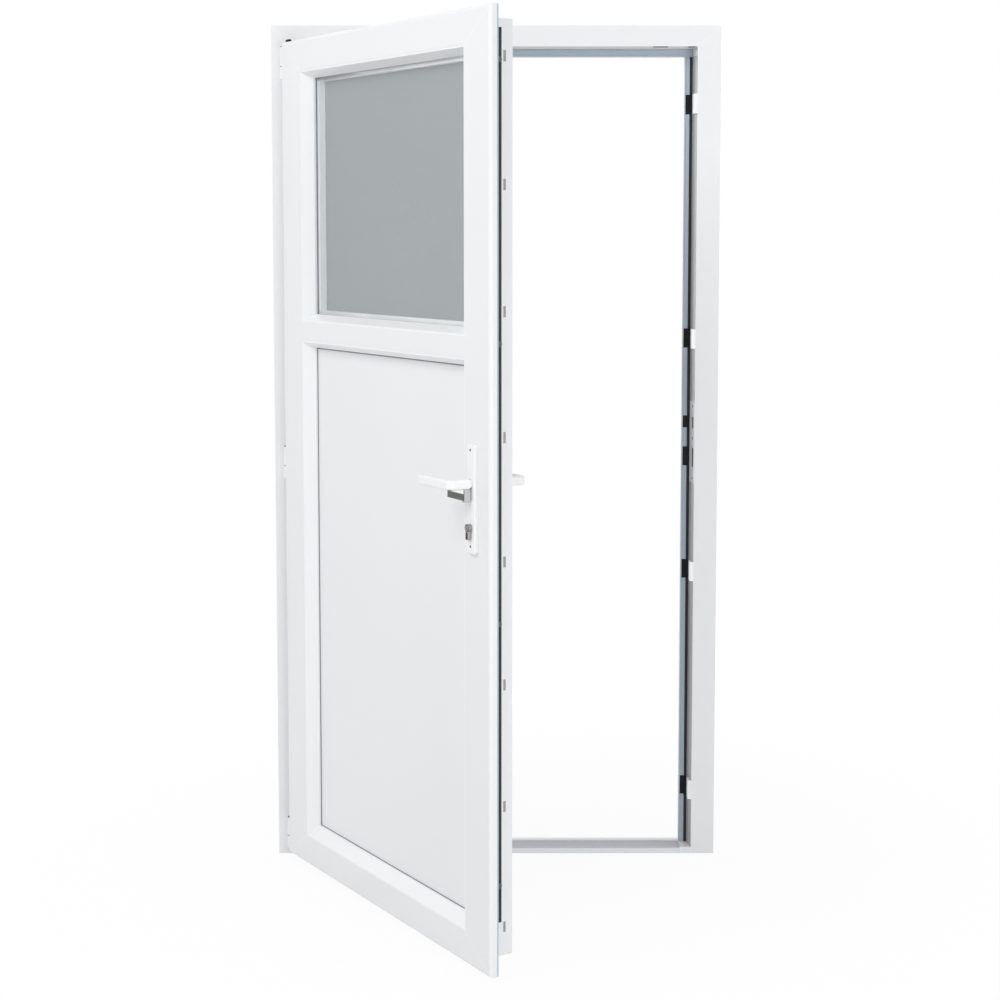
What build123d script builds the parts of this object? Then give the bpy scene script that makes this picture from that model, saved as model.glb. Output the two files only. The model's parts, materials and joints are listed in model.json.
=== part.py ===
import os

from build123d import *

# Half-glazed exterior door in its frame, millimetres.
# X runs across the doorway, Y from the room to the outside, Z up.
# The origin is the middle of the frame's underside.

# Outer frame
frame_width = 1100.0
frame_height = 2070.0
frame_depth = 70.0
jamb_face = 57.0
head_face = 50.0
jamb_slope = 8.0
head_slope = 4.0
jamb_stop = 20.0
head_stop = 18.0
stop_thickness = 17.0
corner_seal_width = 7.0

# Threshold
sill_height = 16.0
sill_nose = 3.0
sill_stop_rise = 3.0

# Door leaf
leaf_depth = 70.0
seal_gap = 5.0
lip_thickness = 17.0
lip_round = 8.0
lip_cover_side = 13.0
lip_cover_top = 7.0
lip_floor_gap = 12.0
lip_over_top = 26.0
lip_over_foot = 34.0
rebate_gap = 15.0
stile_face = 105.0
top_rail_face = 75.0
bottom_rail_face = 70.0
mid_rail_low = 1308.0
mid_rail_face = 46.0
open_angle = 59.6

# Glazing
outer_lip = 12.0
side_bead = 24.0
foot_bead = 28.0
bead_crown = 4.0
bead_set_back = 1.0
unit_thickness = 24.0
pane_thickness = 4.0
seal_thickness = 2.0
unit_clearance = 4.0
spacer_sight = 9.0
seal_sight = 1.0
panel_seal_sight = 3.0

# Hinges
hinge_in = 30.0
hinge_out = 10.0
knuckle_radius = 7.0
pin_radius = 3.0
leaf_knuckle = 47.0
frame_knuckle = 30.0
knuckle_gap = 1.0
hinge_arm = 8.0
hinge_from_top = 57.0
hinge_from_foot = 38.0
middle_hinge_share = 0.49

# Lock edge
plate_inset = 24.0
plate_width = 20.0
plate_thickness = 3.0
plate_from_top = 44.0
plate_from_foot = 106.0
channel_width = 14.0
channel_depth = 7.0
bar_width = 9.0
bar_thickness = 4.0
cam_from_plate_top = 65.0
cam_from_plate_foot = 82.0
cam_share = 0.25
cam_travel = 32.0
cam_stem = 3.5
cam_radius = 6.0
cam_height = 7.0
cam_stand_off = 1.5
bolt_width = 12.0
latch_above = 34.0
latch_length = 22.0
bolt_below = 22.0
bolt_length = 40.0
slot_count = 8
slot_from_top = 101.0
slot_from_foot = 95.0
slot_inset = 51.0
slot_width = 6.0
slot_length = 23.0
slot_depth = 12.0

# Keeps
keep_length = 48.0
keep_lead = 12.0
keep_wall = 3.0
keep_base = 1.5
keep_rise = 6.0
pad_width = 17.0
pad_thickness = 1.5
strike_below = 106.0
strike_above = 98.0
strike_thickness = 1.9
track_thickness = 1.0
track_edge = 2.0
strike_play = 4.0

# Handles
spindle_level = 1050.0
spindle_inset = 64.0
cylinder_drop = 92.0
handle_above = 81.0
handle_below = 55.0
handle_width = 34.0
handle_thickness = 10.0
handle_round = 6.0
neck_radius = 9.0
neck_reach = 67.0
outside_reach = 52.0
lever_gap = 5.0
grip_length = 122.0
grip_height = 20.0
grip_thickness = 13.0
grip_round = 4.5
bend_outside = 15.0
bend_inside = 8.0
bush_width = 8.0
bush_start = 8.0
bush_length = 44.0
bush_deep = 27.0
bush_shallow = 14.0
spindle_side = 8.0
cylinder_radius = 8.5
cylinder_height = 33.0
cylinder_web = 10.0
cylinder_proud = 9.0
outside_proud = 2.0


def box(x0, x1, y0, y1, z0, z1):
    centre = ((x0 + x1) / 2, (y0 + y1) / 2, (z0 + z1) / 2)
    return Pos(*centre) * Box(abs(x1 - x0), abs(y1 - y0), abs(z1 - z0))


def face_of(plane, points):
    return plane * make_face(Polyline(*points, close=True))


def prism_x(points, x0, x1):
    return extrude(face_of(Plane.YZ.offset(x0), points), x1 - x0)


def prism_y(points, y0, y1):
    return extrude(face_of(Plane.XZ.offset(-y0), points), y0 - y1)


def prism_z(points, z0, z1):
    return extrude(face_of(Plane.XY.offset(z0), points), z1 - z0)


def rod_x(y, z, radius, x0, x1):
    return Pos((x0 + x1) / 2, y, z) * Rot(0, 90, 0) * Cylinder(radius, abs(x1 - x0))


def rod_y(x, z, radius, y0, y1):
    return Pos(x, (y0 + y1) / 2, z) * Rot(90, 0, 0) * Cylinder(radius, abs(y1 - y0))


def rod_z(x, y, radius, z0, z1):
    return Pos(x, y, (z0 + z1) / 2) * Cylinder(radius, z1 - z0)


def mirror_x(points):
    return [(-x, y) for x, y in points]


def rectangle(half, low, high):
    return [(-half, low), (half, low), (half, high), (-half, high)]


# Frame levels shared by the pieces
half = frame_width / 2
front = -frame_depth / 2
back = frame_depth / 2
rebate_end = back - stop_thickness
jamb_in = half - jamb_face
jamb_deep = jamb_in - jamb_slope
jamb_tip = jamb_deep - jamb_stop
head_in = frame_height - head_face
head_deep = head_in - head_slope
head_tip = head_deep - head_stop

# Leaf levels, leaf closed
leaf_face = front - seal_gap - lip_thickness
lip_back = leaf_face + lip_thickness
leaf_back = leaf_face + leaf_depth
unit_stop = leaf_back - outer_lip
lip_x = jamb_in + lip_cover_side
lip_top = head_in + lip_cover_top
body_x = jamb_in - rebate_gap
body_top = lip_top - lip_over_top
body_low = lip_floor_gap + lip_over_foot
flat_x = lip_x - stile_face
flat_top = lip_top - top_rail_face
flat_low = lip_floor_gap + bottom_rail_face
mid_rail_high = mid_rail_low + mid_rail_face
light_x = flat_x - side_bead
rail_bead = side_bead * top_rail_face / stile_face
light_top = flat_top - side_bead * (body_top - flat_top) / (body_x - flat_x)
light_low = flat_low + side_bead * (flat_low - body_low) / (body_x - flat_x)
hinge_x = -half + hinge_in
hinge_y = front - hinge_out
unit_out = unit_stop - seal_thickness
unit_in = unit_out - unit_thickness
bead_back = unit_in - seal_thickness
bead_front = leaf_face + bead_set_back

# Heights of hinges, lock and handles
hinge_top = lip_top - hinge_from_top
hinge_foot = lip_floor_gap + hinge_from_foot
hinge_middle = hinge_foot + middle_hinge_share * (hinge_top - hinge_foot)
plate_high = lip_top - plate_from_top
plate_low = lip_floor_gap + plate_from_foot
strike_high = spindle_level + strike_above
strike_low = spindle_level - strike_below
cam_high = plate_high - cam_from_plate_top
cam_low = plate_low + cam_from_plate_foot
cam_levels = [
    cam_high,
    strike_high + cam_share * (cam_high - strike_high),
    strike_low - cam_share * (strike_low - cam_low),
    cam_low,
]
slot_high = lip_top - slot_from_top
slot_low = lip_floor_gap + slot_from_foot
slot_step = (slot_high - slot_low) / (slot_count - 1)
latch_low = spindle_level + latch_above
latch_high = latch_low + latch_length
bolt_high = spindle_level - bolt_below
bolt_low = bolt_high - bolt_length
cylinder_z = spindle_level - cylinder_drop
handle_high = spindle_level + handle_above
handle_low = cylinder_z - handle_below

nodes = {}
leaf_nodes = {}


def rebate_x(y):
    return jamb_in - jamb_slope * (y - front) / (rebate_end - front)


# Outer frame, mitred at the head
jamb_section = [
    (half, front),
    (jamb_in, front),
    (jamb_deep, rebate_end),
    (jamb_tip, rebate_end),
    (jamb_tip, back),
    (half, back),
]
mitre = [
    (jamb_tip, head_tip),
    (jamb_deep, head_deep),
    (jamb_in, head_in),
    (half, frame_height),
]
jamb_outline = [(half, 0), (jamb_tip, 0)] + mitre
head_outline = mitre + mirror_x(mitre)[::-1]
lock_jamb = prism_z(jamb_section, 0, frame_height) & prism_y(jamb_outline, front, back)
hinge_jamb = prism_z(mirror_x(jamb_section), 0, frame_height)
hinge_jamb = hinge_jamb & prism_y(mirror_x(jamb_outline), front, back)
head_section = [
    (front, frame_height),
    (front, head_in),
    (rebate_end, head_deep),
    (rebate_end, head_tip),
    (back, head_tip),
    (back, frame_height),
]
head = prism_x(head_section, -half, half) & prism_y(head_outline, front, back)
nodes["lock_jamb"] = lock_jamb
nodes["hinge_jamb"] = hinge_jamb
nodes["head"] = head

# Threshold between the jambs
sill_section = [
    (front, 0),
    (rebate_end, 0),
    (rebate_end, sill_height),
    (front + sill_nose, sill_height),
    (front, sill_height - sill_nose),
]
nodes["threshold"] = prism_x(sill_section, -jamb_tip, jamb_tip)
nodes["threshold_stop"] = box(
    -jamb_tip, jamb_tip, rebate_end, back, 0, sill_height + sill_stop_rise
)
block_plan = [
    (jamb_tip, front),
    (jamb_in, front),
    (jamb_deep, rebate_end),
    (jamb_tip, rebate_end),
]
nodes["threshold_blocks"] = Compound(
    [prism_z(block_plan, 0, sill_height), prism_z(mirror_x(block_plan), 0, sill_height)]
)

# Black pads on the stop beside each keep
keep_spans = [(level - keep_lead - keep_length, level - keep_lead) for level in cam_levels]
bolt_spans = [(bolt_low - strike_play, bolt_high + strike_play)]
bolt_spans.append((latch_low - strike_play, latch_high + strike_play))
pads = []
for low, high in keep_spans + bolt_spans:
    pads.append(box(jamb_deep - pad_width, jamb_deep, rebate_end - pad_thickness, rebate_end, low, high))
nodes["keep_pads"] = Compound(pads)

# Weather seals on the stop, ribbed along both edges
seal_rise = seal_gap - 1.5
seal_front = rebate_end - seal_rise
seal_edge = 1.0


def ribbed(width):
    rib = width / 5
    return [
        (0, 0),
        (width, 0),
        (width, seal_rise),
        (width - rib, seal_rise),
        (width - 1.5 * rib, seal_rise / 2),
        (1.5 * rib, seal_rise / 2),
        (rib, seal_rise),
        (0, seal_rise),
    ]


jamb_seal = ribbed(jamb_stop - corner_seal_width - seal_edge)
jamb_seal = [(jamb_tip + seal_edge + u, rebate_end - v) for u, v in jamb_seal]
head_seal = ribbed(head_stop - 2 * seal_edge)
head_seal = [(rebate_end - v, head_tip + seal_edge + u) for u, v in head_seal]
lock_seal = prism_z(jamb_seal, sill_height, head_tip)
corner_seal = box(jamb_deep - corner_seal_width, jamb_deep, seal_front, rebate_end, sill_height, head_tip)
for low, high in keep_spans + bolt_spans:
    notch = box(jamb_deep - pad_width, jamb_deep, seal_front, rebate_end, low, high)
    lock_seal = lock_seal - notch
    corner_seal = corner_seal - notch
nodes["stop_seals"] = Compound(
    lock_seal.solids()
    + prism_z(mirror_x(jamb_seal), sill_height, head_tip).solids()
    + prism_x(head_seal, -jamb_deep, jamb_deep).solids()
)
nodes["corner_seals"] = Compound(corner_seal.solids())

# Hinges: lower knuckle and pin on the frame, upper knuckle on the leaf
pins = []
for name, level in (("top", hinge_top), ("middle", hinge_middle), ("bottom", hinge_foot)):
    low = level - frame_knuckle
    high = level + leaf_knuckle
    bore = rod_z(hinge_x, hinge_y, pin_radius, low - 1, high + 1)
    arm = box(hinge_x - hinge_arm / 2, hinge_x + hinge_arm / 2, hinge_y, front, low, level)
    lower = rod_z(hinge_x, hinge_y, knuckle_radius, low, level) + arm
    nodes["frame_hinge_" + name] = lower - bore
    pins.append(rod_z(hinge_x, hinge_y, pin_radius, low, high))
    arm = box(hinge_x, -lip_x, leaf_face + lip_round + 1, lip_back - 1, level + knuckle_gap, high)
    upper = rod_z(hinge_x, hinge_y, knuckle_radius, level + knuckle_gap, high) + arm
    free_bore = rod_z(hinge_x, hinge_y, pin_radius + 0.3, level, high + 1)
    leaf_nodes["leaf_hinge_" + name] = upper - free_bore
nodes["hinge_pins"] = Compound(pins)

# Leaf members, each in three layers of depth
lip_plate = box(-lip_x, lip_x, leaf_face, lip_back, lip_floor_gap, lip_top)
lip_plate = fillet(lip_plate.faces().sort_by(Axis.Y)[0].edges(), lip_round)


def member(outlines):
    skin = lip_plate & prism_y(outlines[0], leaf_face, lip_back)
    middle = prism_y(outlines[1], lip_back, unit_stop)
    outer = prism_y(outlines[2], unit_stop, leaf_back)
    return skin + middle + outer


lip_corners = [(lip_x, lip_floor_gap), (lip_x, lip_top)]
edge_x = lip_x - lip_round
edge_corners = [(edge_x, lip_top - lip_round), (edge_x, lip_floor_gap + lip_round)]
body_corners = [(body_x, body_low), (body_x, body_top)]
flat_corners = [(flat_x, flat_top), (flat_x, flat_low)]
light_corners = [(light_x, light_top), (light_x, light_low)]
stile_outlines = [
    lip_corners + edge_corners[:1] + flat_corners + edge_corners[1:],
    body_corners + flat_corners,
    body_corners + light_corners,
]
lock_stile = member(stile_outlines)
leaf_nodes["hinge_stile"] = member([mirror_x(points) for points in stile_outlines])


def rail(lip, edge, body, flat, light):
    ends = [[lip, edge, flat], [body, flat], [body, light]]
    return member([end + mirror_x(end)[::-1] for end in ends])


leaf_nodes["top_rail"] = rail(
    lip_corners[1], edge_corners[0], body_corners[1], flat_corners[0], light_corners[0]
)
leaf_nodes["bottom_rail"] = rail(
    lip_corners[0], edge_corners[1], body_corners[0], flat_corners[1], light_corners[1]
)
mid_outer = rectangle(light_x, mid_rail_low - rail_bead, mid_rail_high + rail_bead)
mid_inner = rectangle(flat_x, mid_rail_low, mid_rail_high)
leaf_nodes["mid_rail"] = member([mid_inner, mid_inner, mid_outer])


# Glazing beads with mitred corners round one opening
def beads(prefix, low, high, low_bead):
    side = [
        (bead_front, 0),
        (bead_front, bead_crown),
        (bead_back - 4, 1),
        (bead_back, 1),
        (bead_back, 0),
    ]

    def section(width):
        return [(y, u if u in (0, bead_crown) else width) for y, u in side]

    top = [(-flat_x, high), (flat_x, high), (light_x, high - rail_bead), (-light_x, high - rail_bead)]
    base = [(-flat_x, low), (flat_x, low), (light_x, low + low_bead), (-light_x, low + low_bead)]
    right = [(flat_x, low), (flat_x, high), (light_x, high - rail_bead), (light_x, low + low_bead)]
    lengths = {
        "top": (prism_x([(y, high - u) for y, u in section(rail_bead)], -flat_x, flat_x), top),
        "bottom": (prism_x([(y, low + u) for y, u in section(low_bead)], -flat_x, flat_x), base),
        "lock": (prism_z([(flat_x - u, y) for y, u in section(side_bead)], low, high), right),
        "hinge": (
            prism_z([(u - flat_x, y) for y, u in section(side_bead)], low, high),
            mirror_x(right),
        ),
    }
    for name, (length, outline) in lengths.items():
        leaf_nodes[prefix + "_bead_" + name] = length & prism_y(outline, bead_front, bead_back)


beads("glass", mid_rail_high, flat_top, rail_bead)
beads("panel", flat_low, mid_rail_low, foot_bead)


def ring(half_out, low_out, high_out, margins, y0, y1):
    side, low, high = margins
    solid = box(-half_out, half_out, y0, y1, low_out, high_out)
    return solid - box(-half_out + side, half_out - side, y0, y1, low_out + low, high_out - high)


# Sealed double unit above, insulated panel below
unit_x = flat_x - unit_clearance
unit_low = mid_rail_high + unit_clearance
unit_high = flat_top - unit_clearance
panel_low = flat_low + unit_clearance
panel_high = mid_rail_low - unit_clearance
spacer_margins = [bead - unit_clearance + spacer_sight for bead in (side_bead, rail_bead, rail_bead)]
leaf_nodes["inner_pane"] = box(
    -unit_x, unit_x, unit_in, unit_in + pane_thickness, unit_low, unit_high
)
leaf_nodes["outer_pane"] = box(
    -unit_x, unit_x, unit_out - pane_thickness, unit_out, unit_low, unit_high
)
leaf_nodes["glass_spacer"] = ring(
    unit_x, unit_low, unit_high, spacer_margins,
    unit_in + pane_thickness, unit_out - pane_thickness,
)
leaf_nodes["lower_panel"] = box(-unit_x, unit_x, unit_in, unit_out, panel_low, panel_high)


def glazing_seal(low, high, low_bead, top_sight):
    margins = [side_bead + seal_sight, low_bead + seal_sight, rail_bead + top_sight]
    inner = ring(flat_x, low, high, margins, bead_back, unit_in)
    margins = [side_bead + seal_sight, rail_bead + seal_sight, rail_bead + seal_sight]
    return Compound([inner, ring(flat_x, low, high, margins, unit_out, unit_stop)])


leaf_nodes["glass_seals"] = glazing_seal(mid_rail_high, flat_top, rail_bead, seal_sight)
leaf_nodes["panel_seals"] = glazing_seal(flat_low, mid_rail_low, foot_bead, panel_seal_sight)

# Seal on the back of the lip
leaf_nodes["lip_seal"] = ring(
    lip_x - 1, lip_floor_gap + 1, lip_top - 1, [7, 7, 6], lip_back, lip_back + seal_gap - 1
)

# Lock edge: face plate over a channel, drive bar with four roller cams
plate_y0 = leaf_face + plate_inset
plate_y1 = plate_y0 + plate_width
plate_y = (plate_y0 + plate_y1) / 2
plate_x = body_x - plate_thickness
channel_x = plate_x - channel_depth
face_plate = box(plate_x, body_x, plate_y0, plate_y1, plate_low, plate_high)
lock_stile = lock_stile - face_plate
lock_stile = lock_stile - box(
    channel_x, plate_x, plate_y - channel_width / 2, plate_y + channel_width / 2,
    plate_low, plate_high,
)
slot_y = leaf_face + slot_inset
for place in range(slot_count):
    level = slot_low + place * slot_step
    lock_stile = lock_stile - box(
        body_x - slot_depth, body_x, slot_y - slot_width / 2, slot_y + slot_width / 2,
        level - slot_length / 2, level + slot_length / 2,
    )
bar_x1 = plate_x - 0.5
drive_bar = box(
    bar_x1 - bar_thickness, bar_x1, plate_y - bar_width / 2, plate_y + bar_width / 2,
    cam_levels[-1] - 30, cam_levels[0] + 20,
)
head_x0 = body_x + cam_stand_off
for level in cam_levels:
    slot = box(
        plate_x, body_x, plate_y - cam_stem - 1, plate_y + cam_stem + 1,
        level - cam_travel - cam_stem - 1, level + cam_stem + 1,
    )
    face_plate = face_plate - slot
    stem = rod_x(plate_y, level, cam_stem, bar_x1 - 1, head_x0 + 1)
    drive_bar = drive_bar + stem + rod_x(plate_y, level, cam_radius, head_x0, head_x0 + cam_height)

bolts = []
for low, high in ((latch_low, latch_high), (bolt_low, bolt_high)):
    bolt = box(plate_x, body_x, plate_y - bolt_width / 2, plate_y + bolt_width / 2, low, high)
    face_plate = face_plate - bolt
    bolts.append(bolt)
leaf_nodes["lock_bolts"] = Compound(bolts)
leaf_nodes["lock_face_plate"] = face_plate
leaf_nodes["cam_bar"] = drive_bar

# Keeps on the lock jamb, seated on its sloped rebate
keep_half = cam_radius + 3 + keep_wall
keep_y0 = plate_y - keep_half
keep_y1 = plate_y + keep_half
keep_plan = [
    (rebate_x(keep_y0), keep_y0),
    (rebate_x(keep_y1), keep_y1),
    (rebate_x(keep_y1) - keep_rise, keep_y1),
    (rebate_x(keep_y1) - keep_rise, keep_y1 - keep_wall),
    (rebate_x(keep_y1) - keep_base, keep_y1 - keep_wall),
    (rebate_x(keep_y1) - keep_base, keep_y0 + keep_wall),
    (rebate_x(keep_y1) - keep_rise, keep_y0 + keep_wall),
    (rebate_x(keep_y1) - keep_rise, keep_y0),
]
nodes["cam_keeps"] = Compound([prism_z(keep_plan, low, high) for low, high in keep_spans])
strike_plan = [
    (rebate_x(keep_y0), keep_y0),
    (rebate_x(keep_y1), keep_y1),
    (rebate_x(keep_y1) - strike_thickness, keep_y1),
    (rebate_x(keep_y0) - strike_thickness, keep_y0),
]
strike = prism_z(strike_plan, strike_low, strike_high)
strike_half = bolt_width / 2 + 1
for low, high in bolt_spans:
    strike = strike - box(jamb_tip, jamb_in, plate_y - strike_half, plate_y + strike_half, low, high)
nodes["lock_keep"] = strike

# Dark track along the rebate between the keeps
track_y0 = front + track_edge
track_y1 = seal_front - track_edge
track_plan = [
    (rebate_x(track_y0), track_y0),
    (rebate_x(track_y1), track_y1),
    (rebate_x(track_y1) - track_thickness, track_y1),
    (rebate_x(track_y0) - track_thickness, track_y0),
]
stops = [sill_height]
for low, high in sorted(keep_spans + [(strike_low, strike_high)]):
    stops += [low, high]
stops.append(head_tip)
track = [prism_z(track_plan, low, high) for low, high in zip(stops[::2], stops[1::2])]
nodes["keep_track"] = Compound(track)

# Handles: back plates, cylinder ends, levers on one square spindle
spindle_x = lip_x - spindle_inset
lock_stile = lock_stile - rod_y(spindle_x, spindle_level, 6.5, leaf_face, leaf_back)


def cylinder_end(y0, y1):
    foot = cylinder_z - cylinder_height + cylinder_radius
    web = box(spindle_x - cylinder_web / 2, spindle_x + cylinder_web / 2, y0, y1, foot, cylinder_z)
    return rod_y(spindle_x, cylinder_z, cylinder_radius, y0, y1) + web


def back_plate(y0, y1, shown):
    plate = box(
        spindle_x - handle_width / 2, spindle_x + handle_width / 2, y0, y1, handle_low, handle_high
    )
    plate = fillet(plate.edges().filter_by(Axis.Y), handle_round)
    rim = plate.faces().sort_by(Axis.Y)[0 if shown < 0 else -1].edges()
    plate = fillet(rim, handle_round / 2)
    plate = plate - rod_y(spindle_x, spindle_level, neck_radius + 1, y0, y1)
    return plate - cylinder_end(y0, y1)


inner_y = leaf_face - handle_thickness
outer_y = leaf_back + handle_thickness
leaf_nodes["inside_back_plate"] = back_plate(inner_y, leaf_face, -1)
leaf_nodes["outside_back_plate"] = back_plate(leaf_back, outer_y, 1)
leaf_nodes["lock_cylinder"] = Compound(
    [
        cylinder_end(inner_y - cylinder_proud, leaf_face),
        cylinder_end(leaf_back, outer_y + outside_proud),
    ]
)


def lever(root_y, reach, direction):
    arm_y = root_y + direction * (handle_thickness + lever_gap)
    tip_y = root_y + direction * reach
    grip_y = tip_y - direction * grip_thickness
    right = spindle_x + neck_radius
    left = spindle_x - neck_radius
    end = spindle_x - grip_length
    plan = [(right, arm_y), (right, tip_y), (end, tip_y), (end, grip_y), (left, grip_y), (left, arm_y)]
    arm = prism_z(plan, spindle_level - grip_height / 2, spindle_level + grip_height / 2)
    bends = (((right, tip_y), bend_outside), ((left, grip_y), bend_inside))
    for (x, y), radius in bends:
        corner = arm.edges().filter_by(Axis.Z).sort_by_distance((x, y, spindle_level))[0]
        arm = fillet(corner, radius)
    flats = arm.faces().sort_by(Axis.Z)
    arm = fillet(flats[0].edges() + flats[-1].edges(), grip_round)
    return arm + rod_y(spindle_x, spindle_level, neck_radius, root_y, arm_y + direction * lever_gap)


leaf_nodes["inside_lever"] = lever(leaf_face, neck_reach, -1)
leaf_nodes["outside_lever"] = lever(leaf_back, outside_reach, 1)

# Black wedge under the neck of the inside lever
bush_y0 = inner_y - bush_start
bush_y1 = bush_y0 - bush_length
bush_z = spindle_level - grip_height / 2
bush_outline = [
    (bush_y0, bush_z),
    (bush_y0, bush_z - bush_deep),
    (bush_y1, bush_z - bush_shallow),
    (bush_y1, bush_z),
]
leaf_nodes["lever_bush"] = prism_x(
    bush_outline, spindle_x - bush_width / 2, spindle_x + bush_width / 2
)
leaf_nodes["spindle"] = box(
    spindle_x - spindle_side / 2, spindle_x + spindle_side / 2, leaf_face, leaf_back,
    spindle_level - spindle_side / 2, spindle_level + spindle_side / 2,
)
leaf_nodes["lock_stile"] = lock_stile

# The leaf and all it carries stand open
turn = Pos(hinge_x, hinge_y, 0) * Rot(0, 0, -open_angle) * Pos(-hinge_x, -hinge_y, 0)
for name, shape in leaf_nodes.items():
    nodes[name] = turn * shape

os.makedirs("parts", exist_ok=True)
for name, shape in nodes.items():
    export_step(shape, "parts/" + name + ".step")
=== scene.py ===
import json
import math

import bmesh
import bpy
from mathutils import Matrix, Vector


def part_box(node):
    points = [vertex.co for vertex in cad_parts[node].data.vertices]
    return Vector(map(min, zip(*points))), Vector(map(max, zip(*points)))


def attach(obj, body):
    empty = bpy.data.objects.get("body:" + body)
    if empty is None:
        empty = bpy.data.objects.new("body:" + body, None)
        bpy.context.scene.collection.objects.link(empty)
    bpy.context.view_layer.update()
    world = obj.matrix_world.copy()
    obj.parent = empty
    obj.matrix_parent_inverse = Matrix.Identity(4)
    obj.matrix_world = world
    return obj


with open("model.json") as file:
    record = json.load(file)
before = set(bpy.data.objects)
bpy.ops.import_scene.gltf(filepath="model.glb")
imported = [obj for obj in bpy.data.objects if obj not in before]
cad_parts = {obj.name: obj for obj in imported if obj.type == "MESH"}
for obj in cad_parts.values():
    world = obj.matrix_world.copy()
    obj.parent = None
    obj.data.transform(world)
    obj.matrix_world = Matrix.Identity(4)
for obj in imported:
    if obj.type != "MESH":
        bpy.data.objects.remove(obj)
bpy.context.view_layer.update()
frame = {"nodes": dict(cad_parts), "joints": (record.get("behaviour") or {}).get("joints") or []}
scene = bpy.context.scene
nodes = frame["nodes"]
mm = 0.001

# Materials
noise_detail = 4.0
rough_spread = 0.15
grain_detail = 3.0
grain_depth = 0.0005


def material(
    name, colour, roughness, vary, scale, grain=None, stretch=(1, 1, 1), shaded_top_colour=None, **inputs
):
    mat = bpy.data.materials.new(name)
    mat.use_nodes = True
    tree = mat.node_tree
    links = tree.links
    shader = tree.nodes["Principled BSDF"]
    coords = tree.nodes.new("ShaderNodeTexCoord")
    place = tree.nodes.new("ShaderNodeMapping")
    place.inputs["Scale"].default_value = stretch
    links.new(coords.outputs["Object"], place.inputs["Vector"])
    noise = tree.nodes.new("ShaderNodeTexNoise")
    noise.inputs["Scale"].default_value = scale
    noise.inputs["Detail"].default_value = noise_detail
    links.new(place.outputs["Vector"], noise.inputs["Vector"])
    shade = tree.nodes.new("ShaderNodeMapRange")
    shade.inputs["To Min"].default_value = 1.0 - vary
    shade.inputs["To Max"].default_value = 1.0 + vary
    links.new(noise.outputs["Fac"], shade.inputs["Value"])
    tint = tree.nodes.new("ShaderNodeVectorMath")
    tint.operation = "SCALE"
    tint.inputs[0].default_value = colour
    links.new(shade.outputs["Result"], tint.inputs["Scale"])
    # Faces turned up blend towards the top colour, a darker copy of the base: painted shade by how
    # light falls
    if shaded_top_colour:
        upward = tree.nodes.new("ShaderNodeSeparateXYZ")
        blend = tree.nodes.new("ShaderNodeMix")
        blend.data_type = "VECTOR"
        blend.inputs["A"].default_value = colour
        blend.inputs["B"].default_value = shaded_top_colour
        links.new(coords.outputs["Normal"], upward.inputs["Vector"])
        links.new(upward.outputs["Z"], blend.inputs["Factor"])
        links.new(blend.outputs["Result"], tint.inputs[0])
    links.new(tint.outputs["Vector"], shader.inputs["Base Color"])
    rough = tree.nodes.new("ShaderNodeMapRange")
    rough.inputs["To Min"].default_value = roughness * (1.0 - rough_spread)
    rough.inputs["To Max"].default_value = roughness * (1.0 + rough_spread)
    links.new(noise.outputs["Fac"], rough.inputs["Value"])
    links.new(rough.outputs["Result"], shader.inputs["Roughness"])
    if grain:
        strength, fineness = grain
        grains = tree.nodes.new("ShaderNodeTexNoise")
        grains.inputs["Scale"].default_value = fineness
        grains.inputs["Detail"].default_value = grain_detail
        height = tree.nodes.new("ShaderNodeBump")
        height.inputs["Strength"].default_value = strength
        height.inputs["Distance"].default_value = grain_depth
        links.new(place.outputs["Vector"], grains.inputs["Vector"])
        links.new(grains.outputs["Fac"], height.inputs["Height"])
        links.new(height.outputs["Normal"], shader.inputs["Normal"])
    for key, value in inputs.items():
        shader.inputs[key.replace("_", " ")].default_value = value
    return mat


# White plastic, panel and coated metal
white = material(
    "white_profile", (0.83, 0.835, 0.84), roughness=0.32, vary=0.012, scale=3.0, grain=(0.06, 900.0)
)
# Beads and weld ridges take a lighter copy of the profile white: painted light for the brighter
# light the beads catch
lightened_bead_white = material(
    "white_bead", (0.90, 0.90, 0.90), roughness=0.30, vary=0.01, scale=3.0, grain=(0.05, 900.0)
)
panel_white = material(
    "panel_skin", (0.84, 0.84, 0.85), roughness=0.38, vary=0.012, scale=2.0, grain=(0.08, 600.0)
)
coat_white = material(
    "white_coat", (0.88, 0.88, 0.885), roughness=0.28, vary=0.01, scale=8.0, grain=(0.08, 1500.0)
)

# Seals and dark plastic, with the painted shade colours for the edge slots and the lever's shadow
# wedge
seal_grey = material(
    "grey_seal", (0.47, 0.54, 0.61), roughness=0.6, vary=0.05, scale=20.0, grain=(0.2, 700.0)
)
panel_seal = material(
    "panel_seal", (0.20, 0.225, 0.25), roughness=0.6, vary=0.06, scale=20.0, grain=(0.2, 700.0)
)
pane_seal = material(
    "pane_seal", (0.58, 0.63, 0.68), roughness=0.55, vary=0.04, scale=20.0, grain=(0.2, 700.0)
)
dark_seal = material(
    "dark_seal", (0.03, 0.035, 0.04), roughness=0.6, vary=0.1, scale=20.0, grain=(0.2, 700.0),
    Specular_IOR_Level=0.25,
)
# Painted shade: mid grey for the plugs in the lock-edge slots, standing for the shade inside them
slot_shade_grey = material(
    "slot_shade_grey", (0.34, 0.34, 0.345), roughness=0.55, vary=0.15, scale=40.0, grain=(0.2, 700.0)
)
# Black plastic for real dark parts, also the painted shade of keyways, strike windows and the keeps'
# shadow pads
black = material(
    "black_plastic_and_shade", (0.008, 0.009, 0.011), roughness=0.5, vary=0.1, scale=30.0, grain=(0.2, 800.0),
    Specular_IOR_Level=0.2,
)
# Painted shadow: near-black colour of the wedge under the lever neck, standing for the lever's
# shadow on the leaf
lever_shadow_dark = material(
    "lever_shadow_dark", (0.095, 0.10, 0.088), roughness=0.5, vary=0.1, scale=30.0, grain=(0.2, 800.0)
)

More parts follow.
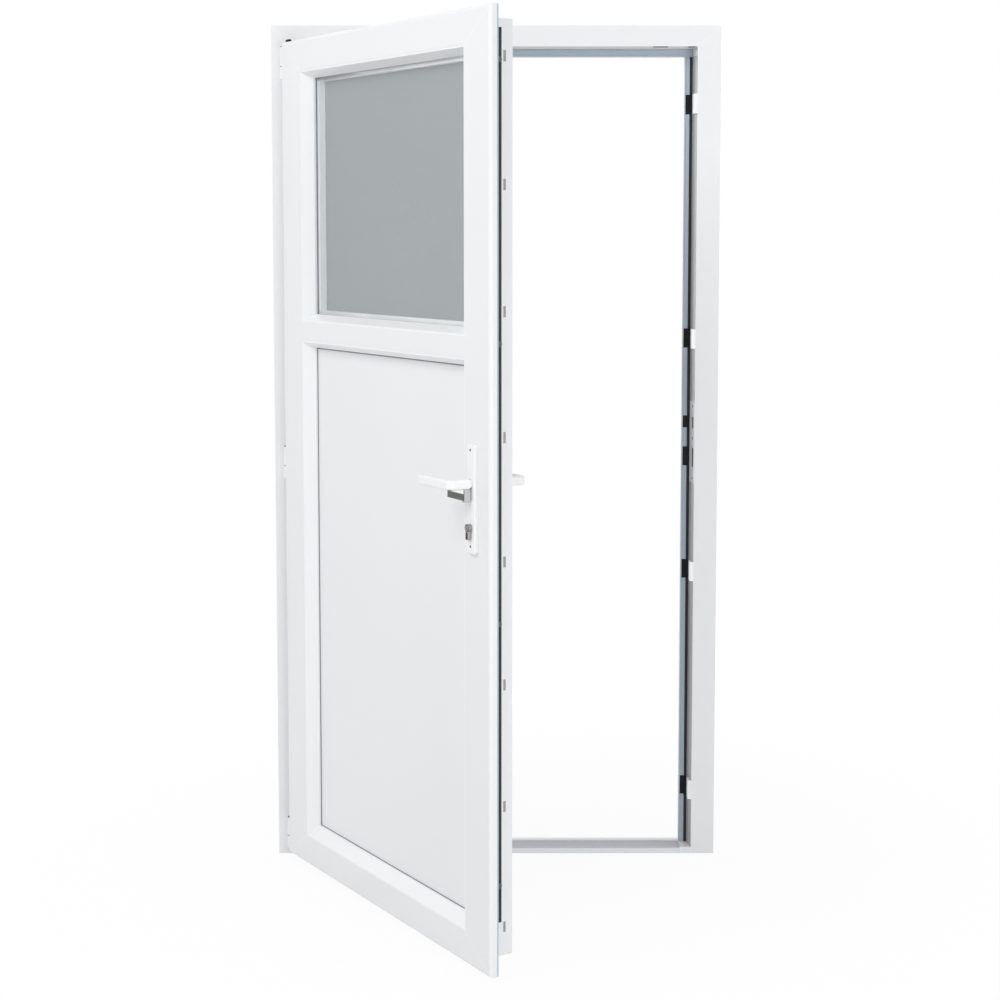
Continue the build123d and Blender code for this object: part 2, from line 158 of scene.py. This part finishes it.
# Metals
dark_steel = material(
    "dark_steel", (0.042, 0.045, 0.048), roughness=0.42, vary=0.12, scale=30.0, grain=(0.15, 500.0),
    Metallic=0.6,
)
plate_steel = material(
    "plate_steel", (0.034, 0.038, 0.041), roughness=0.42, vary=0.12, scale=30.0, grain=(0.15, 500.0),
    Metallic=0.6,
)
cam_steel = material(
    "cam_steel", (0.11, 0.11, 0.115), roughness=0.32, vary=0.1, scale=40.0, grain=(0.1, 700.0),
    Metallic=0.8,
)
nickel = material(
    "nickel", (0.36, 0.35, 0.34), roughness=0.3, vary=0.06, scale=60.0, grain=(0.1, 900.0),
    Metallic=1.0,
)
# Zinc for the cam keeps; also the lighter patch on the lever's shadow wedge, which is painted light
zinc_and_lit_patch = material(
    "zinc_and_lit_patch", (0.82, 0.82, 0.83), roughness=0.35, vary=0.05, scale=60.0, grain=(0.1, 700.0),
    Metallic=0.3,
)
strike_zinc = material(
    "strike_zinc", (0.56, 0.57, 0.56), roughness=0.35, vary=0.1, scale=60.0, grain=(0.1, 700.0),
    Metallic=0.3,
)
# Mid grey for the lever collar: partly a real collar, partly painted shadow on the back plate
collar_shadow_grey = material(
    "collar_shadow_grey", (0.50, 0.51, 0.52), roughness=0.4, vary=0.05, scale=60.0, grain=(0.1, 700.0)
)
# Grey of the keep track along the lock-jamb rebate, standing for the shade in that rebate: partly a
# real track, partly painted shade
track_shade_grey = material(
    "track_shade_grey", (0.44, 0.44, 0.435), roughness=0.45, vary=0.5, scale=12.0, grain=(0.1, 120.0),
    stretch=(1, 25, 0.2), Metallic=0.3,
)
# Aluminium sill: fronts lighter and faces turned up darker, painted reflection and painted shade by
# how light falls
aluminium = material(
    "aluminium", (0.74, 0.75, 0.77), roughness=0.36, vary=0.06, scale=14.0, grain=(0.15, 90.0),
    stretch=(0.15, 12, 12), shaded_top_colour=(0.46, 0.47, 0.50), Metallic=0.4,
)

# Glazing
clear = material(
    "clear_glass", (0.95, 0.97, 0.97), roughness=0.05, vary=0.003, scale=4.0, Alpha=0.12
)
frost = material(
    "frosted_glass", (0.234, 0.265, 0.276), roughness=0.6, vary=0.05, scale=1.6, grain=(0.04, 1400.0)
)
spacer_metal = material("spacer", (0.93, 0.95, 0.96), roughness=0.4, vary=0.03, scale=30.0)

finishes = {
    "inner_pane": clear,
    "outer_pane": frost,
    "glass_spacer": spacer_metal,
    "lower_panel": panel_white,
    "glass_seals": pane_seal,
    "panel_seals": panel_seal,
    "corner_seals": dark_seal,
    "lock_face_plate": plate_steel,
    "lock_bolts": dark_steel,
    "cam_bar": cam_steel,
    "spindle": nickel,
    "hinge_pins": nickel,
    "lock_cylinder": nickel,
    # The lever bush is a dark wedge drawn where the lever's shadow falls on the leaf: painted shadow
    "lever_bush": lever_shadow_dark,
    # The keep pads are black packers drawn where the keeps' shadows fall: partly real packers,
    # partly painted shadow
    "keep_pads": black,
    # The keep track's streaky grey stands for the shade in the lock-jamb rebate: partly a real
    # track, partly painted shade
    "keep_track": track_shade_grey,
    "cam_keeps": zinc_and_lit_patch,
    "lock_keep": strike_zinc,
    "threshold": aluminium,
}
for name, obj in nodes.items():
    finish = finishes.get(name)
    if finish is None:
        finish = white
        if "seal" in name:
            finish = seal_grey
        elif "bead" in name:
            finish = lightened_bead_white
        elif name.endswith("_lever") or "back_plate" in name or "_hinge_" in name:
            finish = coat_white
    obj.data.materials.clear()
    obj.data.materials.append(finish)

# Places on the leaf are worked out as if it were shut, then turned with it
swing = next(joint for joint in frame["joints"] if joint["name"] == "leaf_swing")
hinge = Vector(swing["pos_m"])
opened = math.radians(-swing["range_deg"][0])
leaf_turn = (
    Matrix.Translation(hinge) @ Matrix.Rotation(-opened, 4, "Z") @ Matrix.Translation(-hinge)
)
as_it_is = Matrix.Identity(4)
left, right = Vector((-1, 0, 0)), Vector((1, 0, 0))
inward, outward = Vector((0, -1, 0)), Vector((0, 1, 0))
down, up = Vector((0, 0, -1)), Vector((0, 0, 1))
same_point = 0.01 * mm
same_face = 1 * mm


def corners(points):
    low = Vector([min(p[i] for p in points) for i in range(3)])
    high = Vector([max(p[i] for p in points) for i in range(3)])
    return low, high


def shut_box(name):
    back = leaf_turn.inverted()
    return corners([back @ vertex.co for vertex in nodes[name].data.vertices])


def solid_boxes(name):
    bm = bmesh.new()
    bm.from_mesh(nodes[name].data)
    bmesh.ops.remove_doubles(bm, verts=bm.verts, dist=same_point)
    todo = set(bm.verts)
    boxes = []
    while todo:
        group, fresh = set(), {todo.pop()}
        while fresh:
            group |= fresh
            fresh = {e.other_vert(v) for v in fresh for e in v.link_edges} - group
        todo -= group
        boxes.append(corners([v.co for v in group]))
    bm.free()
    return sorted(boxes, key=lambda box: box[0].z)


def head_underside(y):
    return min(v.co.z for v in nodes["head"].data.vertices if abs(v.co.y - y) < same_face)


# Mesh builders, with measures in millimetres
def stand(place, axis, along=up):
    z = axis.normalized()
    y = (along - along.dot(z) * z).normalized()
    x = y.cross(z)
    return Matrix.Translation(place) @ Matrix((x, y, z)).transposed().to_4x4()


def skin(bm, rings):
    for lower, upper in zip(rings, rings[1:]):
        count = max(len(lower), len(upper))
        for i in range(count):
            quad = [lower[i % len(lower)], lower[(i + 1) % len(lower)]]
            quad += [upper[(i + 1) % len(upper)], upper[i % len(upper)]]
            bm.faces.new(list(dict.fromkeys(quad)))


def lathe(bm, profile, matrix, segments=24):
    rings = []
    for radius, height in profile:
        count = segments if radius else 1
        angles = [2 * math.pi * i / count for i in range(count)]
        points = [(radius * math.cos(a), radius * math.sin(a), height) for a in angles]
        rings.append([bm.verts.new(matrix @ (Vector(p) * mm)) for p in points])
    skin(bm, rings)


def slab(bm, outline, matrix, height, bevel):
    width = max(abs(x) for x, y in outline)
    length = max(abs(y) for x, y in outline)
    rings = []
    for z, inset in ((0, 0), (height - bevel, 0), (height, bevel)):
        sx, sy = 1 - inset / width, 1 - inset / length
        points = [Vector((x * sx, y * sy, z)) for x, y in outline]
        rings.append([bm.verts.new(matrix @ (p * mm)) for p in points])
    skin(bm, rings)
    bm.faces.new(rings[0][::-1])
    bm.faces.new(rings[-1])


def rounded(width, length, radius, steps=5):
    points = []
    for quarter in range(4):
        cx = (width / 2 - radius) * (1 if quarter in (0, 3) else -1)
        cy = (length / 2 - radius) * (1 if quarter in (0, 1) else -1)
        for i in range(steps + 1):
            a = math.pi / 2 * (quarter + i / steps)
            points.append((cx + radius * math.cos(a), cy + radius * math.sin(a)))
    return points


def ridge(bm, start, end, rise, width, height):
    side = (end - start).cross(rise).normalized() * width * mm / 2
    section = (-side, rise * height * mm, side)
    rings = [[bm.verts.new(point + offset) for offset in section] for point in (start, end)]
    skin(bm, rings)
    bm.faces.new(rings[0][::-1])
    bm.faces.new(rings[1])


def screw(bm, place, axis, radius):
    sunk, shoulder, crown, socket_floor = -0.5, 0.5, 0.6, 0.1
    flat, socket, socket_foot = 0.8 * radius, 0.45 * radius, 0.35 * radius
    profile = [(0, sunk), (radius, sunk), (radius, 0), (flat, shoulder), (socket, crown)]
    profile += [(socket_foot, socket_floor), (0, socket_floor)]
    lathe(bm, profile, stand(place, axis), segments=16)


def piece(name, bm, mat, body, matrix=as_it_is):
    bmesh.ops.recalc_face_normals(bm, faces=bm.faces)
    bm.transform(matrix)
    mesh = bpy.data.meshes.new(name)
    bm.to_mesh(mesh)
    bm.free()
    mesh.materials.append(mat)
    obj = bpy.data.objects.new(name, mesh)
    scene.collection.objects.link(obj)
    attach(obj, body)


# Handle furniture
def handle_screws():
    screw_radius = 2.8
    top_inset = 10.5 * mm
    foot_inset = 16 * mm
    bm = bmesh.new()
    for name, axis in (("inside_back_plate", inward), ("outside_back_plate", outward)):
        low, high = shut_box(name)
        x = (low.x + high.x) / 2
        y = low.y if axis is inward else high.y
        for z in (high.z - top_inset, low.z + foot_inset):
            screw(bm, Vector((x, y, z)), axis, screw_radius)
    piece("handle_screws", bm, dark_steel, "leaf", leaf_turn)


def key_plugs():
    low, high = shut_box("lock_cylinder")
    x = (low.x + high.x) / 2
    radius = (high.x - low.x) / 2 / mm
    z = high.z - radius * mm
    web_width, web_play, web_corner = 8.4, 1.5, 2
    web = rounded(web_width, (z - low.z) / mm - radius - web_play, web_corner)
    rim_inset = 0.6
    rim = radius - rim_inset
    disc = [(0, 0), (rim, 0), (rim, 0.2), (rim - 0.3, 0.4), (0, 0.4)]
    plug = [(0, 0.3), (6.2, 0.3), (6.2, 0.8), (5.8, 1.1), (5.0, 0.9), (0, 0.9)]
    # The black keyway slab on each plug stands for the shade inside the keyway slot: painted shade
    keyway_width, keyway_length, keyway_corner = 1.8, 8.0, 0.8
    keyway = rounded(keyway_width, keyway_length, keyway_corner)
    keyway_seat = 0.8 * mm
    faces, plugs, keyway_shade = bmesh.new(), bmesh.new(), bmesh.new()
    for y, axis in ((low.y, inward), (high.y, outward)):
        place = Vector((x, y, z))
        foot = Vector((x, y, (low.z + z) / 2 - radius * mm / 2))
        slab(faces, web, stand(foot, axis), height=0.3, bevel=0.2)
        lathe(faces, disc, stand(place, axis))
        lathe(plugs, plug, stand(place, axis))
        slab(keyway_shade, keyway, stand(place + axis * keyway_seat, axis), height=0.25, bevel=0.1)
    piece("cylinder_faces", faces, dark_steel, "leaf", leaf_turn)
    piece("key_plugs", plugs, nickel, "leaf", leaf_turn)
    piece("keyway_shade", keyway_shade, black, "leaf", leaf_turn)


# The lever bush is a painted shadow. The lighter zinc patch on its side is painted light for the lit
# leaf face between lever and shadow. The collar by the plate is a real collar, and its mid grey is
# painted shadow on the back plate.
def shadow_wedge_details():
    low, high = shut_box("lever_bush")
    length = (high.y - low.y) / mm
    face_share = 0.66
    face_drop = 5.5 * mm
    centre = Vector((high.x, low.y + face_share * (high.y - low.y), high.z - face_drop))
    tip, back = -0.62 * length, 0.1 * length
    top, foot = 5.0, -4.5
    bm = bmesh.new()
    slab(bm, [(tip, top), (back, top), (back, foot)], stand(centre, right), height=0.5, bevel=0.2)
    piece("painted_lit_patch", bm, zinc_and_lit_patch, "lever", leaf_turn)
    collar_width, collar_extra, collar_corner = 11, 0.5, 2
    collar_inset = 9 * mm
    tall = (high.z - low.z) / mm + collar_extra
    place = Vector(((low.x + high.x) / 2, high.y - collar_inset, high.z - tall / 2 * mm))
    outline = rounded(collar_width, tall, collar_corner)
    bm = bmesh.new()
    slab(bm, outline, stand(place, outward), height=15.0, bevel=0.8)
    piece("collar_and_shadow", bm, collar_shadow_grey, "lever", leaf_turn)


# Hinges
def hinge_caps():
    washer = [(0, -0.45), (7.6, -0.45), (7.6, 0.45), (0, 0.45)]
    washer_gap = 0.5 * mm
    dome = [(0, -0.3), (6.6, -0.3), (6.6, 0.8), (5.6, 1.8), (2.4, 2.2), (2.0, 1.2), (0, 1.2)]
    axis = Vector((hinge.x, hinge.y, 0))
    washers, caps, feet = bmesh.new(), bmesh.new(), bmesh.new()
    for name in ("top", "middle", "bottom"):
        low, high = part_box("frame_hinge_" + name)
        leaf_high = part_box("leaf_hinge_" + name)[1]
        lathe(washers, washer, stand(axis + up * (high.z + washer_gap), up, inward))
        lathe(caps, dome, stand(axis + up * leaf_high.z, up, inward))
        lathe(feet, dome, stand(axis + up * low.z, down, inward))
    piece("hinge_washers", washers, dark_steel, "frame")
    piece("hinge_caps", caps, dark_steel, "leaf")
    piece("hinge_feet", feet, coat_white, "frame")


def top_block():
    block_width, block_length, block_corner = 19, 8, 2
    side_inset, front_inset = 28 * mm, 8 * mm
    low, high = shut_box("top_rail")
    place = Vector((low.x + side_inset, low.y + front_inset, high.z))
    outline = rounded(block_width, block_length, block_corner)
    bm = bmesh.new()
    slab(bm, outline, stand(place, up, outward), height=5.0, bevel=1.0)
    piece("leaf_top_block", bm, black, "leaf", leaf_turn)


# Lock edge and keeps
keeps = solid_boxes("cam_keeps")
keep_lead = 12 * mm
keep_wall_rise = 4.5 * mm
lock_screw_radius = 3.4


def edge_screws():
    above_cam, below_cam = 40 * mm, 70 * mm
    low, high = shut_box("lock_face_plate")
    bm = bmesh.new()
    for keep in keeps:
        cam = keep[1].z + keep_lead
        for z in (cam + above_cam, cam - below_cam):
            screw(bm, Vector((high.x, (low.y + high.y) / 2, z)), right, lock_screw_radius)
    piece("face_plate_screws", bm, nickel, "leaf", leaf_turn)


def channel_liners():
    channel_depth = 7.0
    bar_play = 0.5
    liner_width, liner_length, liner_corner = 13, 60, 1
    lowest_rise, highest_rise = -38 * mm, 8 * mm
    bar_low = shut_box("cam_bar")[0]
    low, high = shut_box("lock_face_plate")
    floor = low.x - channel_depth * mm
    thickness = (bar_low.x - floor) / mm - bar_play
    outline = rounded(liner_width, liner_length, liner_corner)
    bm = bmesh.new()
    for keep, rise in ((keeps[0], lowest_rise), (keeps[-1], highest_rise)):
        place = Vector((floor, (low.y + high.y) / 2, keep[1].z + keep_lead + rise))
        slab(bm, outline, stand(place, right), thickness, bevel=0.3)
    piece("channel_liners", bm, black, "leaf", leaf_turn)


def edge_slots():
    count = 8
    first_inset, last_inset = 95 * mm, 101 * mm
    slot_depth, slot_place = 2 * mm, 51 * mm
    slot_width, slot_length, slot_corner = 5.6, 22.6, 0.8
    body_x = shut_box("lock_face_plate")[1].x
    low, high = shut_box("lock_stile")
    first, last = low.z + first_inset, high.z - last_inset
    # Grey plugs just inside the lock-edge slots stand for the shade in the slots: painted shade
    outline = rounded(slot_width, slot_length, slot_corner)
    bm = bmesh.new()
    for i in range(count):
        z = first + (last - first) * i / (count - 1)
        place = Vector((body_x - slot_depth, low.y + slot_place, z))
        slab(bm, outline, stand(place, right), height=1.0, bevel=0.3)
    piece("edge_slot_shade", bm, slot_shade_grey, "leaf", leaf_turn)


def keep_screws():
    keep_inset, strike_inset = 9 * mm, 12 * mm
    strike_thickness = 1.9 * mm
    pocket_width, pocket_play, pocket_corner = 12.5, 1, 1.5
    pocket_sink = 1.6 * mm
    bm = bmesh.new()
    for low, high in keeps:
        for z in (low.z + keep_inset, high.z - keep_inset):
            place = Vector((low.x + keep_wall_rise, (low.y + high.y) / 2, z))
            screw(bm, place, left, lock_screw_radius)
    low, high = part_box("lock_keep")
    seat = Vector((low.x + high.x - strike_thickness, low.y + high.y, 0)) / 2
    run = Vector((low.x - high.x + strike_thickness, high.y - low.y, 0))
    face = run.cross(down).normalized()
    spans = [box for box in solid_boxes("keep_pads") if low.z < box[0].z < high.z]
    gap = (spans[0][1].z + spans[1][0].z) / 2
    for z in (low.z + strike_inset, gap, high.z - strike_inset):
        screw(bm, seat + up * z, face, lock_screw_radius)
    piece("keep_screws", bm, dark_steel, "frame")
    # Black pockets just behind the strike face, at the pads' heights, stand for the shade inside the
    # strike windows: painted shade
    pocket_shade = bmesh.new()
    for pad_low, pad_high in spans:
        place = seat - face * pocket_sink + up * (pad_low.z + pad_high.z) / 2
        outline = rounded(pocket_width, (pad_high.z - pad_low.z) / mm - pocket_play, pocket_corner)
        slab(pocket_shade, outline, stand(place, face), height=1.0, bevel=0.2)
    piece("strike_window_shade", pocket_shade, black, "frame")


def head_marks():
    places_and_lengths = ((402 * mm, 36), (479 * mm, 17))
    mark_width, mark_corner = 8, 1
    front_inset, sink = 6 * mm, 0.3 * mm
    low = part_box("head")[0]
    bm = bmesh.new()
    for x, length in places_and_lengths:
        place = Vector((x, low.y + front_inset, head_underside(low.y) - sink))
        outline = rounded(length, mark_width, mark_corner)
        slab(bm, outline, stand(place, down, outward), height=1.5, bevel=0.4)
    piece("head_keeps", bm, dark_steel, "frame")


# Weld lines and sill ridges
weld_width = 1.6
weld_height = 0.25


def leaf_welds():
    edge = 8 * mm
    low, high = shut_box("lock_stile")
    flat_low = shut_box("panel_bead_bottom")[0].z
    bead_high = shut_box("glass_bead_top")[1]
    bm = bmesh.new()
    for z0, z1 in ((bead_high.z, high.z - edge), (flat_low, low.z + edge)):
        for side in (1, -1):
            start = Vector((side * bead_high.x, low.y, z0))
            end = Vector((side * (high.x - edge), low.y, z1))
            ridge(bm, start, end, inward, weld_width, weld_height)
    piece("leaf_welds", bm, lightened_bead_white, "leaf", leaf_turn)


def frame_welds():
    low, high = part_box("head")
    inside_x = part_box("threshold_blocks")[1].x
    outside_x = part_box("threshold")[1].x
    bm = bmesh.new()
    for x, y, rise in ((inside_x, low.y, inward), (outside_x, high.y, outward)):
        for side in (1, -1):
            start = Vector((side * x, y, head_underside(y)))
            end = Vector((side * high.x, y, high.z))
            ridge(bm, start, end, rise, weld_width, weld_height)
    piece("frame_welds", bm, lightened_bead_white, "frame")


def sill_ridges():
    first, past_last, pitch = 10, 48, 6
    ridge_width, ridge_height = 2.4, 0.7
    sink = 0.05 * mm
    low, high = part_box("threshold")
    bm = bmesh.new()
    for y in range(first, past_last, pitch):
        start = Vector((low.x, low.y + y * mm, high.z - sink))
        end = Vector((high.x, low.y + y * mm, high.z - sink))
        ridge(bm, start, end, up, ridge_width, ridge_height)
    piece("sill_ridges", bm, aluminium, "frame")


handle_screws()
key_plugs()
shadow_wedge_details()
hinge_caps()
top_block()
edge_screws()
channel_liners()
edge_slots()
keep_screws()
head_marks()
leaf_welds()
frame_welds()
sill_ridges()

# Stage, light and camera
floor_half = 20.0
shadow_hidden = 0.9
shadow_reach = 1.6


def seen_direct(tree):
    path = tree.nodes.new("ShaderNodeLightPath")
    total = path.outputs["Is Camera Ray"]
    for ray in ("Is Glossy Ray", "Is Transmission Ray"):
        join = tree.nodes.new("ShaderNodeMath")
        join.operation = "MAXIMUM"
        tree.links.new(total, join.inputs[0])
        tree.links.new(path.outputs[ray], join.inputs[1])
        total = join.outputs["Value"]
    return total


def backdrop():
    bm = bmesh.new()
    bmesh.ops.create_grid(bm, x_segments=1, y_segments=1, size=floor_half)
    mesh = bpy.data.meshes.new("floor")
    bm.to_mesh(mesh)
    bm.free()
    floor = bpy.data.objects.new("floor", mesh)
    scene.collection.objects.link(floor)
    mat = bpy.data.materials.new("floor_white")
    mat.use_nodes = True
    tree = mat.node_tree
    shader = tree.nodes["Principled BSDF"]
    shader.inputs["Base Color"].default_value = (0.8, 0.8, 0.8, 1)
    shader.inputs["Roughness"].default_value = 0.9
    glow = tree.nodes.new("ShaderNodeEmission")
    coords = tree.nodes.new("ShaderNodeTexCoord")
    reach = tree.nodes.new("ShaderNodeVectorMath")
    reach.operation = "LENGTH"
    share = tree.nodes.new("ShaderNodeMapRange")
    share.inputs["From Max"].default_value = shadow_reach
    share.inputs["To Min"].default_value = shadow_hidden
    strength = tree.nodes.new("ShaderNodeMath")
    strength.operation = "MULTIPLY"
    mix = tree.nodes.new("ShaderNodeMixShader")
    links = tree.links
    links.new(coords.outputs["Object"], reach.inputs[0])
    links.new(reach.outputs["Value"], share.inputs["Value"])
    links.new(share.outputs["Result"], strength.inputs[0])
    links.new(seen_direct(tree), strength.inputs[1])
    links.new(strength.outputs["Value"], mix.inputs["Fac"])
    links.new(shader.outputs["BSDF"], mix.inputs[1])
    links.new(glow.outputs["Emission"], mix.inputs[2])
    links.new(mix.outputs["Shader"], tree.nodes["Material Output"].inputs["Surface"])
    mesh.materials.append(mat)


def sky(strength):
    world = bpy.data.worlds.new("studio")
    scene.world = world
    world.use_nodes = True
    tree = world.node_tree
    shade = tree.nodes["Background"]
    shade.inputs["Color"].default_value = (0.97, 0.98, 1.0, 1)
    shade.inputs["Strength"].default_value = strength
    bright = tree.nodes.new("ShaderNodeBackground")
    bright.inputs["Color"].default_value = (1, 1, 1, 1)
    mix = tree.nodes.new("ShaderNodeMixShader")
    tree.links.new(seen_direct(tree), mix.inputs["Fac"])
    tree.links.new(shade.outputs["Background"], mix.inputs[1])
    tree.links.new(bright.outputs["Background"], mix.inputs[2])
    tree.links.new(mix.outputs["Shader"], tree.nodes["World Output"].inputs["Surface"])


def light(name, place, target, energy, size):
    lamp = bpy.data.lights.new(name, "AREA")
    lamp.energy = energy
    lamp.size = size
    obj = bpy.data.objects.new(name, lamp)
    obj.location = place
    obj.rotation_euler = (Vector(target) - Vector(place)).to_track_quat("-Z", "Y").to_euler()
    obj.visible_camera = False
    scene.collection.objects.link(obj)


def camera(place, tilt_deg, focal_length, shift):
    lens = bpy.data.cameras.new("camera")
    lens.sensor_width = 36.0
    lens.lens = focal_length
    lens.shift_y = shift
    lens.clip_end = 200.0
    obj = bpy.data.objects.new("camera", lens)
    obj.location = place
    obj.rotation_euler = (math.radians(tilt_deg), 0, 0)
    scene.collection.objects.link(obj)
    scene.camera = obj


backdrop()
sky(strength=0.68)
light("key", (-2.6, -3.0, 3.9), (-0.2, -0.4, 1.5), energy=74, size=2.0)
light("fill", (2.2, -4.0, 0.9), (0.5, 0.0, 0.9), energy=46, size=2.0)
light("back", (-1.8, 3.6, 2.0), (0.4, 0.0, 1.1), energy=48, size=2.5)
camera((0.0094, -5.0652, 1.5748), tilt_deg=84.643, focal_length=73.19, shift=-0.08)
scene.view_settings.view_transform = "Standard"
